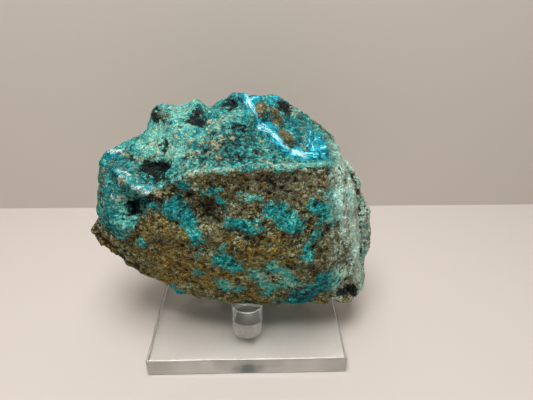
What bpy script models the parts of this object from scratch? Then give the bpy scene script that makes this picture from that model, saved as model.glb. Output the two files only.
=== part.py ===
"""Chrysocolla specimen: a broken piece of copper-stained rock on a clear stand of a square plate and pegs.

Metres, +Z up. The origin is the middle of the plate's underside, and -Y is the side that is shown.
"""

import math

import bmesh
import bpy
from mathutils import Vector, noise
from mathutils.geometry import intersect_point_line

MM = 0.001

# Stand
PLATE_SIDE = 80 * MM
PLATE_THICKNESS = 8 * MM
PLATE_EDGE_ROUND = 0.5 * MM
PEG_DIAMETER = 12.7 * MM
PEG_HEIGHT = 14.5 * MM
PEG_EDGE_ROUND = 0.4 * MM
PEG_SIDES = 64
PEG_CIRCLE_RADIUS = 23 * MM
PEG_ANGLES = {"peg_front": -90, "peg_rear_right": 30, "peg_rear_left": 150}
GAP = 0.3 * MM

# Stone. The heart is the point that every part of its surface can be seen from.
HEART = Vector((-2, 2, 58)) * MM
REST_HEIGHT = PLATE_THICKNESS + PEG_HEIGHT + GAP
SEAT_RADIUS = 10.5 * MM
LONG_EDGE = 16 * MM
GRID_CUTS = 12
RELAX_ROUNDS = 3
MOST_SLANT = 0.6
STONE_TRIANGLES = 8200

# Broken surface: how high each kind of roughness stands and how far across it is, in millimetres.
LUMP_HEIGHT, LUMP_WIDTH = 0.8, 12
GRIT_HEIGHT, GRIT_WIDTH = 0.4, 3.6
RIB_HEIGHT, RIB_WIDTH, RIB_LENGTH = 0.6, 3.2, 14
CHIP_WIDTHS = (11.0, 5.0)
CHIP_SLOPES = (0.32, 0.40)
CHIP_BORDER = 0.3
LEAN_STEP = 7.3
RIBS_START_AT, RIBS_FULL_AT = 0.35, 0.7

# Where the surface of the stone turns, in millimetres, from the broken front face round to the hidden back.
TURNS_MM = {
    "lower_edge": [
        (-64, -8, 48), (-61, -11, 44), (-48, -16, 36), (-39, -19, 32), (-28, -22, 27),
        (-17, -23, 24), (-3, -24, 22), (18, -24, 22), (33, -23, 21), (44, -20, 19),
    ],
    "chamfer_above_lower_edge": [(-56, -14, 53), (-49, -18, 50), (-39, -21, 44), (-32, -23, 36)],
    "front_rim": [
        (-41, -20, 70), (-31, -21, 74), (-24, -24, 80), (-18, -25, 82), (-9, -26, 83),
        (3, -26, 84), (12, -25, 84), (21, -23, 83), (30, -19, 82),
    ],
    "front_hollow": [
        (-29, -24, 69), (-15, -27, 75), (-12, -26, 68), (2, -28, 76), (16, -27, 75), (27, -25, 71),
    ],
    "front_belly": [
        (-35, -25, 59), (-23, -29, 58), (-10, -31, 63), (5, -31, 64), (21, -29, 61),
        (-17, -29, 45), (2, -31, 49), (20, -30, 48), (1, -28, 34), (25, -27, 35),
    ],
    "right_edge": [(32, -20, 75), (34, -21, 67), (35, -22, 58), (38, -22, 44), (42, -20, 31)],
    "right_face": [(38, -9, 75), (42, -10, 67), (44, -11, 60), (45, -12, 50), (47, -13, 37), (49, -14, 26)],
    "right_groove": [(42, -4, 69), (45, -5, 60), (47, -6, 51), (48, -7, 41), (49, -8, 31)],
    "right_flank": [
        (41, 4, 74), (44, 3, 70), (49, 3, 61), (52, 1, 50), (54, 0, 43), (54, -1, 37), (54, -3, 30),
        (53, -7, 22), (50, -12, 18), (46, -17, 18),
    ],
    "vein": [
        (1, 0, 99), (5, -6, 95), (9, -9, 90), (15, -12, 87), (20, -15, 84), (25, -15, 83), (30, -10, 84),
    ],
    "middle_ridge": [(1, -9, 96), (-4, -12, 96), (-11, -13, 93), (-16, -16, 89), (-21, -19, 84)],
    "middle_face": [(-10, -20, 88), (2, -18, 89), (12, -20, 86)],
    "left_slope": [
        (-16, 0, 96), (-15, -8, 91), (-23, -8, 92), (-25, -13, 86), (-33, -8, 84), (-35, -13, 77),
        (-41, -8, 80),
    ],
    "crown": [
        (-57, -2, 76), (-49, 0, 82), (-44, 4, 83), (-38, 6, 87), (-37, 11, 91), (-33, 12, 94), (-26, 11, 94),
        (-19, 9, 98), (-13, 11, 94), (-7, 9, 97), (-1, 5, 101), (2, 7, 99), (7, 7, 101), (15, 8, 98),
        (21, 8, 95), (25, 9, 90), (32, 9, 86), (36, 7, 81),
    ],
    "upper_right_face": [(11, 0, 96), (21, -2, 91), (28, -4, 86)],
    "left_block": [
        (-61, -6, 55), (-59, -4, 65), (-58, -2, 72), (-48, -12, 80), (-45, -17, 74), (-42, -16, 77),
        (-35, -20, 74), (-51, -15, 64), (-45, -21, 59), (-50, -17, 58), (-40, -17, 65),
    ],
    "back_slope": [(-44, 12, 80), (-22, 20, 88), (3, 22, 92), (25, 19, 84), (38, 11, 76)],
    "back_shoulder": [(-52, 12, 69), (-33, 26, 75), (-11, 35, 77), (14, 34, 76), (32, 24, 70), (45, 13, 63)],
    "back_corner": [(-9, 40, 60), (-6, 39, 42), (-4, 32, 27)],
    "back_left_face": [(-58, 8, 55), (-54, 12, 42), (-36, 26, 52), (-31, 24, 35)],
    "back_right_face": [(51, 8, 49), (49, 6, 33), (28, 27, 55), (30, 22, 34)],
    "back_ledge": [(8, 38, 62), (18, 36, 52), (33, 28, 43), (12, 33, 49), (26, 26, 40)],
    "back_foot": [(-42, 10, 34), (-24, 21, 28), (12, 25, 24), (29, 16, 24), (42, 4, 24)],
    "underside": [
        (-50, 2, 42), (-38, 0, 33), (-29, 11, 25), (-20, 11, 22), (-22, -8, 25), (-10, 18, 22), (0, 0, 25),
        (10, 19, 22), (20, 11, 22), (30, 8, 22), (24, -8, 23), (38, -6, 22), (0, -15, 22),
    ],
}

# Ridges stand out and grooves go in along a line: height and half width, then the line, all in millimetres.
RIDGES_MM = {
    "vein": (1.1, 3.0, [
        (3, 2, 99), (5, -4, 95), (7, -6, 92), (11, -9, 89), (15, -14, 87), (20, -15, 84), (24, -14, 83),
        (29, -9, 84),
    ]),
    "lip_over_cave": (2.0, 4.0, [(-46, -14, 78), (-41, -17, 77), (-37, -19, 74), (-33, -21, 74)]),
    "front_rim": (1.0, 3.5, [
        (-33, -21, 74), (-29, -22, 75), (-24, -24, 79), (-18, -24, 81), (-9, -26, 83), (3, -26, 84),
        (16, -24, 83), (30, -18, 82),
    ]),
    "middle_ridge": (1.2, 3.5, [
        (2, -7, 96), (-4, -13, 96), (-9, -12, 94), (-14, -12, 91), (-17, -17, 89), (-21, -19, 85),
        (-26, -21, 79),
    ]),
    "right_rib": (1.0, 3.5, [(33, -14, 78), (35, -19, 70), (36, -20, 60), (39, -19, 48)]),
    "right_groove": (-1.4, 3.5, [(45, -1, 65), (46, -4, 58), (48, -6, 48), (49, -7, 39), (49, -9, 30)]),
    "crevice": (-1.6, 3.0, [(-16, 7, 96), (-15, -4, 94), (-15, -11, 91)]),
    "block_foot": (-1.6, 3.0, [(-58, -10, 53), (-52, -16, 51), (-47, -19, 49), (-41, -22, 55)]),
    "shelf_across_front": (0.9, 4.5, [
        (-29, -27, 60), (-16, -30, 59), (-2, -31, 56), (14, -31, 54), (28, -26, 45),
    ]),
}

# Hollows and lumps: how deep in (or, below zero, how far out), how far the form reaches, and its middle.
HOLLOWS_MM = {
    "black_cave": (4.5, 6.0, (-40, -20, 68)),
    "dark_pocket": (2.2, 6.5, (-32, -15, 78)),
    "high_pocket": (1.8, 5.0, (-18, -3, 94)),
    "worn_patch": (1.8, 8.0, (-12, -27, 69)),
    "dish_below_rim": (1.4, 11.0, (10, -27, 76)),
    "foot_pocket": (2.2, 5.0, (44, -19, 25)),
    "dark_knob": (-1.0, 5.0, (-33, 9, 92)),
    "peak_knob": (-1.0, 5.0, (-18, 8, 98)),
    "upper_clast": (-1.1, 4.5, (7, -1, 96)),
    "lower_clast": (-1.0, 4.0, (16, -10, 88)),
    "pale_lobe": (-1.8, 8.0, (-47, -18, 60)),
    "corner_knob": (-1.0, 5.0, (-53, -2, 79)),
    "blue_cushion": (-1.3, 6.0, (-24, -25, 67)),
    "teal_cushion": (-1.0, 7.0, (14, -28, 67)),
    "low_cushion": (-1.2, 8.0, (27, -26, 34)),
}


def smooth_step(value):
    """0 below 0, 1 above 1, and an even slope between."""
    value = min(1.0, max(0.0, value))
    return value * value * (3 - 2 * value)


def new_material(name, colour, roughness, transmission=0.0):
    material = bpy.data.materials.new(name)
    material.use_nodes = True
    shader = material.node_tree.nodes["Principled BSDF"]
    shader.inputs["Base Color"].default_value = (*colour, 1)
    shader.inputs["Roughness"].default_value = roughness
    shader.inputs["Transmission Weight"].default_value = transmission
    shader.inputs["Metallic"].default_value = 0
    return material


def new_object(name, bm, material):
    mesh = bpy.data.meshes.new(name)
    bm.to_mesh(mesh)
    bm.free()
    mesh.materials.append(material)
    obj = bpy.data.objects.new(name, mesh)
    bpy.context.scene.collection.objects.link(obj)
    return obj


def make_plate(acrylic):
    """The square plate, its edges just broken."""
    bm = bmesh.new()
    bmesh.ops.create_cube(bm, size=1)
    bmesh.ops.scale(bm, vec=(PLATE_SIDE, PLATE_SIDE, PLATE_THICKNESS), verts=bm.verts)
    bmesh.ops.translate(bm, vec=(0, 0, PLATE_THICKNESS / 2), verts=bm.verts)
    bmesh.ops.bevel(
        bm, geom=bm.edges, offset=PLATE_EDGE_ROUND, segments=2, profile=0.5, affect="EDGES", material=-1
    )
    return new_object("stand_plate", bm, acrylic)


def peg_centre(angle_deg):
    angle = math.radians(angle_deg)
    return Vector((math.cos(angle), math.sin(angle), 0)) * PEG_CIRCLE_RADIUS


def make_peg(name, angle_deg, acrylic):
    """One round peg, standing on the plate."""
    bm = bmesh.new()
    radius = PEG_DIAMETER / 2
    foot = PLATE_THICKNESS + GAP
    length = PLATE_THICKNESS + PEG_HEIGHT - foot
    bmesh.ops.create_cone(
        bm, cap_ends=True, segments=PEG_SIDES, radius1=radius, radius2=radius, depth=length
    )
    rims = [edge for edge in bm.edges if abs(edge.verts[0].co.z - edge.verts[1].co.z) < length / 2]
    bmesh.ops.bevel(
        bm, geom=rims, offset=PEG_EDGE_ROUND, segments=1, profile=0.5, affect="EDGES", material=-1
    )
    bmesh.ops.translate(bm, vec=peg_centre(angle_deg) + Vector((0, 0, foot + length / 2)), verts=bm.verts)
    peg = new_object(name, bm, acrylic)
    peg.data.shade_smooth()
    peg.data.set_sharp_from_angle(angle=math.radians(40))
    return peg


def stone_cage():
    """The turns of the surface, joined into a closed shape round the heart.

    Seen from the heart every turn has its own direction, so the hull of those directions says which turns are
    neighbours. Each is then put back at its own distance, which keeps ridges and hollows alike.
    """
    bm = bmesh.new()
    reach = bm.verts.layers.float.new("reach")
    for turns in TURNS_MM.values():
        for turn in turns:
            arm = Vector(turn) * MM - HEART
            vert = bm.verts.new(arm.normalized())
            vert[reach] = arm.length
    bmesh.ops.convex_hull(bm, input=bm.verts)
    for vert in bm.verts:
        vert.co = HEART + vert.co * vert[reach]
    bmesh.ops.recalc_face_normals(bm, faces=bm.faces)
    return bm


def divide(bm):
    """Halves the longest sides of the cage, then cuts every face into a fine grid of triangles."""
    long_edges = [edge for edge in bm.edges if edge.calc_length() > LONG_EDGE]
    bmesh.ops.subdivide_edges(bm, edges=long_edges, cuts=1)
    bmesh.ops.triangulate(bm, faces=bm.faces)
    bmesh.ops.subdivide_edges(bm, edges=bm.edges, cuts=GRID_CUTS, use_grid_fill=True)


def chipped(place, width, slope):
    """Height of a surface broken into chips this wide, each leaning its own way and level at its border."""
    reaches, chips = noise.voronoi(place / width)
    lean = noise.noise_vector(chips[0] * LEAN_STEP)
    inside = smooth_step((reaches[1] - reaches[0]) / CHIP_BORDER)
    return inside * slope * lean.dot(place / width - chips[0]) * width


def roughness_mm(place, normal):
    """How far the broken stone stands off its cage, in millimetres: upright ribs only on its right side."""
    height = LUMP_HEIGHT * noise.fractal(place / LUMP_WIDTH, 1.0, 2.0, 3)
    height += GRIT_HEIGHT * noise.fractal(place / GRIT_WIDTH, 0.9, 2.0, 3)
    for width, slope in zip(CHIP_WIDTHS, CHIP_SLOPES):
        height += chipped(place + Vector((4 * width, 0, 0)), width, slope)
    along_ribs = Vector((place.x / RIB_WIDTH, place.y / RIB_WIDTH, place.z / RIB_LENGTH))
    right_side = smooth_step((normal.x - RIBS_START_AT) / (RIBS_FULL_AT - RIBS_START_AT))
    return height + right_side * RIB_HEIGHT * noise.fractal(along_ribs, 1.0, 2.0, 2)


def off_line(place, line):
    """Distance from a place to a line of straight pieces."""
    nearest = (place - line[0]).length
    for start, end in zip(line, line[1:]):
        foot, along = intersect_point_line(place, start, end)
        if 0 < along < 1:
            nearest = min(nearest, (place - foot).length)
        nearest = min(nearest, (place - end).length)
    return nearest


def form_mm(place):
    """How far the named ridges, grooves, hollows and lumps move the surface out, in millimetres."""
    out = 0
    for height, half_width, line in RIDGES_MM.values():
        out += height * smooth_step(1 - off_line(place, [Vector(point) for point in line]) / half_width)
    for depth, radius, middle in HOLLOWS_MM.values():
        out -= depth * smooth_step(1 - (place - Vector(middle)).length / radius)
    return out


def roughen(bm):
    """Breaks up the smooth cage. Every move is along the line from the heart, so the skin can't fold over."""
    bm.normal_update()
    moves = {}
    for vert in bm.verts:
        place = vert.co / MM
        outward = (vert.co - HEART).normalized()
        slant = max(MOST_SLANT, outward.dot(vert.normal))
        moves[vert] = outward * (roughness_mm(place, vert.normal) + form_mm(place)) / slant * MM
    for vert, move in moves.items():
        vert.co += move


def seat(bm):
    """Flattens what little of the underside would sink into a peg, so that the stone rests on all three."""
    for angle in PEG_ANGLES.values():
        axis = peg_centre(angle)
        for vert in bm.verts:
            away = (vert.co.xy - axis.xy).length
            if away < SEAT_RADIUS and vert.co.z < HEART.z:
                vert.co.z = max(vert.co.z, REST_HEIGHT)


def make_stone(rock):
    bm = stone_cage()
    divide(bm)
    for _ in range(RELAX_ROUNDS):
        bmesh.ops.smooth_vert(
            bm, verts=bm.verts, factor=0.5, use_axis_x=True, use_axis_y=True, use_axis_z=True
        )
    roughen(bm)
    seat(bm)
    fine_triangles = sum(len(face.verts) - 2 for face in bm.faces)
    stone = new_object("chrysocolla_stone", bm, rock)
    thin = stone.modifiers.new("Decimate", "DECIMATE")
    thin.ratio = STONE_TRIANGLES / fine_triangles
    stone.data.shade_smooth()
    stone.data.set_sharp_from_angle(angle=math.radians(35))
    return stone


def main():
    for obj in list(bpy.data.objects):
        bpy.data.objects.remove(obj, do_unlink=True)
    rock = new_material("chrysocolla_rock", (0.16, 0.27, 0.22), 0.75)
    acrylic = new_material("clear_acrylic", (0.95, 0.96, 0.96), 0.05, transmission=1.0)
    make_plate(acrylic)
    for name, angle in PEG_ANGLES.items():
        make_peg(name, angle, acrylic)
    make_stone(rock)


main()
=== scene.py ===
import math

import bmesh
import bpy
import numpy as np
from mathutils import Matrix, Vector, noise
from mathutils.bvhtree import BVHTree


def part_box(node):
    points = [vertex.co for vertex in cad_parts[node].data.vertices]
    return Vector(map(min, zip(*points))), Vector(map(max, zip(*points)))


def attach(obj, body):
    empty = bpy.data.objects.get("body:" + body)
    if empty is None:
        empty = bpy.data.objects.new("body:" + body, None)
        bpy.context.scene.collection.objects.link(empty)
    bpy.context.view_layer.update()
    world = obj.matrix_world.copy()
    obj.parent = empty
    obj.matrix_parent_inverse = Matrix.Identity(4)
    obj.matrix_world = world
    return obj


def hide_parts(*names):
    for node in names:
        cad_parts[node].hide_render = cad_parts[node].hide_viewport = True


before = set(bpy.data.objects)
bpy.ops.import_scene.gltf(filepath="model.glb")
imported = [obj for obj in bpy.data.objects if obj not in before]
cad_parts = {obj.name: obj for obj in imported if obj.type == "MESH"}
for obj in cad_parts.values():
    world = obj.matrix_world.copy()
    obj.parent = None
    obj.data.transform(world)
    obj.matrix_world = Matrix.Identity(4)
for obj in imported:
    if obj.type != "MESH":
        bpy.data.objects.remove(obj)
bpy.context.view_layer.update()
mm = 0.001
pegs = ("peg_front", "peg_rear_left", "peg_rear_right")
noise.seed_set(1)  # without it the noise follows the clock, and each run differs a little


# ---- small helpers

def tint(red, green, blue):  # a colour as seen on screen, made linear
    return tuple((c / 255 / 12.92) if c < 10.3 else ((c / 255 + 0.055) / 1.055) ** 2.4
                 for c in (red, green, blue)) + (1.0,)


def fade(value):  # 0 below 0, 1 above 1, an even slope between
    value = np.clip(value, 0.0, 1.0)
    return value * value * (3 - 2 * value)


def put(tree, kind, inputs=None, **settings):  # a node with its settings and its inputs, values or sockets
    node = tree.nodes.new(kind)
    for name, value in settings.items():
        setattr(node, name, value)
    for name, value in (inputs or {}).items():
        if isinstance(value, bpy.types.NodeSocket):
            tree.links.new(value, node.inputs[name])
        else:
            node.inputs[name].default_value = value
    return node


def mixColour(tree, share, first, second, blend="MIX"):
    node = put(tree, "ShaderNodeMix", {0: share, 6: first, 7: second}, data_type="RGBA", blend_type=blend)
    return node.outputs[2]


def sums(tree, operation, first, second=0.0, third=0.0):
    return put(tree, "ShaderNodeMath", {0: first, 1: second, 2: third}, operation=operation).outputs[0]


def between(tree, value, low, high):  # a value as a mask: 0 at low, 1 at high
    node = put(tree, "ShaderNodeMapRange", {"Value": value, "From Min": low, "From Max": high},
               interpolation_type="SMOOTHSTEP")
    return node.outputs["Result"]


def ramp(tree, value, stops):  # a value as a colour, from stops of places and colours
    node = put(tree, "ShaderNodeValToRGB", {"Fac": value})
    while len(node.color_ramp.elements) < len(stops):
        node.color_ramp.elements.new(0.5)
    for element, (place, colour) in zip(node.color_ramp.elements, stops):
        element.position = place
        element.color = tint(*colour)
    return node.outputs["Color"]


def blankMaterial(name):
    material = bpy.data.materials.new(name)
    material.use_nodes = True
    return material, material.node_tree, material.node_tree.nodes["Principled BSDF"]


# ---- camera

view = {
    "place": (3.6, -156.5, 146.6),  # millimetres
    "down": 29.6, "right": 1.75, "roll": 0.45,  # degrees
    "focalPixels": 430, "frame": (533, 400),
}


def makeCamera():
    camera = bpy.data.objects.new("camera", bpy.data.cameras.new("camera"))
    bpy.context.scene.collection.objects.link(camera)
    camera.data.sensor_width = 36
    camera.data.lens = view["focalPixels"] / view["frame"][0] * camera.data.sensor_width
    camera.data.clip_start = 0.01
    turn = (Matrix.Rotation(math.radians(-view["right"]), 4, "Z")
            @ Matrix.Rotation(math.radians(90 - view["down"]), 4, "X")
            @ Matrix.Rotation(math.radians(view["roll"]), 4, "Z"))
    camera.matrix_world = Matrix.Translation(Vector(view["place"]) * mm) @ turn
    bpy.context.scene.camera = camera
    return camera


camera = makeCamera()
print("camera set")


def sightLine(across, down):  # from the camera through a pixel of its frame
    width, height = view["frame"]
    aim = Vector((across - width / 2, height / 2 - down, -view["focalPixels"])).normalized()
    return camera.matrix_world.to_3x3() @ aim


def pixelsOf(places):  # where places in millimetres stand in the frame
    turn = np.array(camera.matrix_world.to_3x3())
    seen = (places - np.array(view["place"])) @ turn
    width, height = view["frame"]
    depth = np.maximum(-seen[:, 2], 1.0)
    across = width / 2 + view["focalPixels"] * seen[:, 0] / depth
    down = height / 2 - view["focalPixels"] * seen[:, 1] / depth
    return np.stack([across, down], 1)


# ---- the stone

stoneShape = {
    "grid": 0.66,  # millimetres between points of the fine surface
    "smoothing": 3,
    "capHeight": 70,  # millimetres: behind, turquoise lies about above this
    "rustBelow": 66, "rightEnd": 30, "undersideBelow": 50,  # millimetres
    "tealBelow": (4, -4), "tealReach": 30,  # millimetres: the middle and radius of the turquoise beneath
    "streaksFrom": (324, 158),  # pixel: pale streaks lie to the right of and below this
    "caveCorner": (140, 190),  # pixel: black to the left of and below this is a cave
    "smoothVeinFrom": 220,  # pixel across: the vein is smooth to the right of this
    "rim": [  # turquoise lies above this line and round the ends of the stone
        (85, 212), (96, 213), (101, 220), (108, 229), (114, 237), (120, 241), (127, 238), (133, 229),
        (138, 220), (143, 214), (147, 214), (146, 204), (151, 194), (160, 190), (175, 181), (191, 176),
        (218, 173), (252, 171), (280, 170), (305, 169), (319, 168), (329, 169), (332, 180), (334, 196),
        (336, 215), (341, 228), (350, 240), (354, 262), (355, 283), (356, 305), (420, 305), (420, 60),
        (60, 60), (60, 212),
    ],
}

# How far, in millimetres, each kind of mark fades out past its half width.
fading = {
    "patch": 2.6, "deep": 4.0, "pale": 4.0, "black": 2.0, "tan": 1.0, "vein": 2.8, "ochre": 6.0, "grey": 6.0,
    "gritty": 4.0, "clast": 2.4, "cream": 1.1, "fleck": 1.0, "hollow": 3.0, "knoll": 1.8,
}

# Each stroke: the pixels it runs through, its half width in millimetres and its strength.
strokes = {}
strokes["patch"] = [  # turquoise lying on the brown face
    ([(171, 211), (178, 204), (184, 214), (188, 221)], 3.4, 1),
    ([(190, 230), (194, 236), (194, 242)], 2.2, 1), ([(141, 243)], 2.4, 1),
    ([(216, 192), (221, 202)], 2.2, 0.8), ([(184, 185)], 2.4, 0.9), ([(202, 190), (208, 196)], 1.6, 0.7),
    ([(230, 225), (240, 222), (250, 228), (258, 227)], 2.4, 1),
    ([(272, 210), (281, 214), (290, 222), (298, 225)], 3.6, 1),
    ([(316, 205), (325, 212), (332, 218)], 3.4, 0.95), ([(320, 222)], 2.6, 0.9),
    ([(318, 233), (312, 240), (306, 252)], 2.2, 0.85), ([(308, 254)], 2.6, 0.95),
    ([(222, 258), (230, 262), (236, 268)], 3.4, 1), ([(222, 283), (228, 287), (236, 288)], 3, 0.85),
    ([(256, 272), (262, 282), (272, 286)], 3.4, 0.85), ([(275, 268), (285, 275), (292, 283)], 4, 0.8),
    ([(250, 198), (260, 200)], 1.4, 0.75), ([(240, 192)], 1, 0.7), ([(172, 287), (182, 292)], 2.2, 0.85),
    ([(197, 273)], 1.6, 0.8), ([(212, 264)], 1.6, 0.75), ([(223, 247)], 1.6, 0.7), ([(145, 259)], 1.1, 0.6),
    ([(298, 299), (312, 292), (322, 284), (332, 279)], 4.8, 1), ([(318, 278), (333, 277)], 2.4, 0.9),
    ([(280, 299), (262, 292)], 2.2, 0.7), ([(330, 190), (333, 202)], 2.8, 0.7),
    ([(157, 207), (150, 203)], 1.8, 0.95), ([(300, 265)], 1.8, 0.65), ([(258, 186)], 1.2, 0.6),
    ([(198, 256), (206, 240)], 1.3, 0.55),
]
strokes["deep"] = [  # stronger, bluer colour
    ([(104, 160), (112, 164), (121, 168), (130, 170)], 3, 1), ([(118, 160), (127, 163)], 3, 0.9),
    ([(113, 190)], 2.2, 0.9), ([(109, 212), (109, 222)], 1.4, 0.9), ([(130, 148)], 1, 1),
    ([(118, 186), (126, 188)], 2, 0.7), ([(130, 184), (138, 196)], 2.4, 0.8), ([(152, 180)], 1.6, 1),
    ([(238, 96), (241, 100), (238, 104)], 2.4, 1), ([(247, 100), (252, 109), (256, 116)], 2.4, 1),
    ([(203, 118), (204, 133)], 1.6, 0.9), ([(186, 137)], 1.8, 0.7), ([(280, 99)], 2, 0.8),
    ([(268, 123)], 2.2, 1), ([(290, 121), (296, 125)], 3, 1), ([(281, 132)], 1.8, 0.9),
    ([(298, 137), (297, 145)], 2.2, 1), ([(268, 134), (276, 142), (284, 150), (293, 157)], 1.8, 1),
    ([(305, 160), (318, 157), (326, 154)], 2.4, 1), ([(225, 150), (250, 146), (262, 158)], 9, 0.3),
    ([(298, 300), (314, 293), (328, 283)], 5, 1.3),
    ([(171, 211), (178, 204), (184, 214), (188, 221)], 3, 0.55), ([(184, 185)], 2.4, 0.6),
]
strokes["pale"] = [  # thin pale aqua
    ([(160, 130), (150, 148), (165, 152), (180, 150)], 7, 0.9), ([(176, 118), (187, 106)], 4.5, 1),
    ([(168, 135), (190, 128)], 5, 0.9), ([(158, 122), (154, 128)], 3, 0.8),
    ([(135, 154), (142, 160), (148, 163)], 3.5, 0.9),
    ([(250, 118), (240, 114), (226, 121), (218, 128), (206, 134), (196, 148), (185, 162), (174, 176),
       (164, 187)], 1.3, 1), ([(184, 174), (203, 172), (235, 170)], 1.4, 0.9),
    ([(124, 219), (127, 226)], 2.6, 0.5), ([(118, 198)], 3, 0.9),
    ([(124, 180), (132, 187), (142, 192)], 1.8, 0.9), ([(116, 150)], 2, 0.7),
    ([(280, 166), (300, 165), (322, 164)], 2.6, 0.8), ([(335, 172), (338, 200), (341, 222)], 1.8, 0.75),
    ([(349, 205), (352, 225), (355, 250), (357, 276)], 1.2, 0.8), ([(347, 264), (350, 280)], 2.4, 0.4),
    ([(325, 178), (329, 196)], 1.4, 0.8), ([(322, 136), (328, 142)], 3, 0.6),
    ([(218, 283), (226, 286), (236, 288)], 2.6, 0.7), ([(275, 268), (285, 275), (292, 283)], 4, 0.9),
    ([(256, 272), (262, 282), (272, 286)], 3, 0.8), ([(290, 111)], 2, 0.8), ([(278, 123)], 1, 1),
    ([(250, 198), (260, 200)], 2, 0.8), ([(148, 170), (141, 178)], 1.6, 0.6),
]
# Hollows are pressed into the shape, and the material darkens them with painted shade.
strokes["hollow"] = [  # pressed in
    ([(203, 204), (212, 214), (222, 222)], 3.6, 0.45), ([(186, 196), (182, 200)], 1.5, 0.6),
    ([(196, 148), (184, 162), (170, 174)], 2.2, 0.7), ([(126, 152), (136, 168), (146, 182)], 1.8, 0.8),
    ([(356, 186), (358, 210), (361, 240), (361, 262)], 1, 0.9),
    ([(143, 168), (156, 166), (167, 168)], 2.6, 0.7), ([(188, 118), (196, 116), (200, 122)], 2.4, 0.7),
    ([(214, 106), (226, 104)], 1.6, 0.7), ([(222, 126), (234, 124)], 2.4, 0.6),
    ([(208, 158), (226, 152)], 2.2, 0.5), ([(282, 128), (288, 146)], 2, 0.5),
    ([(266, 176), (272, 186)], 2.6, 0.6), ([(250, 240), (266, 246)], 3, 0.5),
    ([(170, 236), (182, 246)], 3, 0.5), ([(300, 234), (290, 246)], 2.6, 0.5),
    ([(330, 176), (333, 190)], 1.2, 0.6), ([(110, 206), (112, 232)], 1, 0.7),
]
strokes["knoll"] = [  # standing out
    ([(152, 189), (164, 188), (175, 180), (203, 173), (240, 170), (290, 168)], 0.6, 0.6),
    ([(160, 192)], 1.4, 0.9), ([(251, 118), (240, 114), (226, 121), (212, 130)], 1, 0.8),
    ([(247, 99), (251, 109), (258, 120)], 1.2, 0.6),
    ([(337, 172), (341, 200), (346, 235), (352, 285)], 1.2, 0.9), ([(158, 112), (163, 116)], 2.4, 0.9),
    ([(124, 220), (127, 230)], 3, 0.9), ([(128, 187), (136, 188)], 0.5, 0.6),
    ([(143, 191), (151, 193)], 0.5, 0.6), ([(106, 155)], 1, 0.7), ([(113, 153), (118, 152)], 0.6, 0.7),
    ([(146, 203), (151, 210)], 1, 0.9), ([(236, 97), (240, 101)], 2, 0.9),
    ([(122, 178), (122, 186)], 0.8, 0.6), ([(366, 212)], 2, 0.7), ([(366, 232), (365, 250)], 2, 0.7),
    ([(211, 124)], 1, 0.9), ([(176, 210), (184, 220)], 2.6, 0.5), ([(280, 216), (292, 224)], 2.6, 0.5),
    ([(310, 262), (318, 270)], 4, 0.4),
]
strokes["gritty"] = [  # turquoise ground up with dark and tan grains
    ([(205, 160), (225, 145), (245, 135)], 6, 1), ([(230, 160), (262, 156), (290, 164)], 5, 1),
    ([(215, 130), (235, 120)], 3, 0.8), ([(190, 165), (200, 150)], 3, 0.7),
    ([(104, 175), (102, 195)], 3.5, 0.9), ([(225, 108), (213, 112)], 4, 0.7),
    ([(305, 125), (318, 128), (330, 150)], 3, 0.8), ([(160, 128)], 2, 0.4),
    ([(112, 200), (120, 206)], 3, 0.8), ([(124, 216), (128, 230)], 3, 0.9),
    ([(121, 176), (126, 186), (142, 191), (152, 194)], 3, 0.9), ([(330, 165), (345, 180)], 2.5, 0.6),
]
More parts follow.
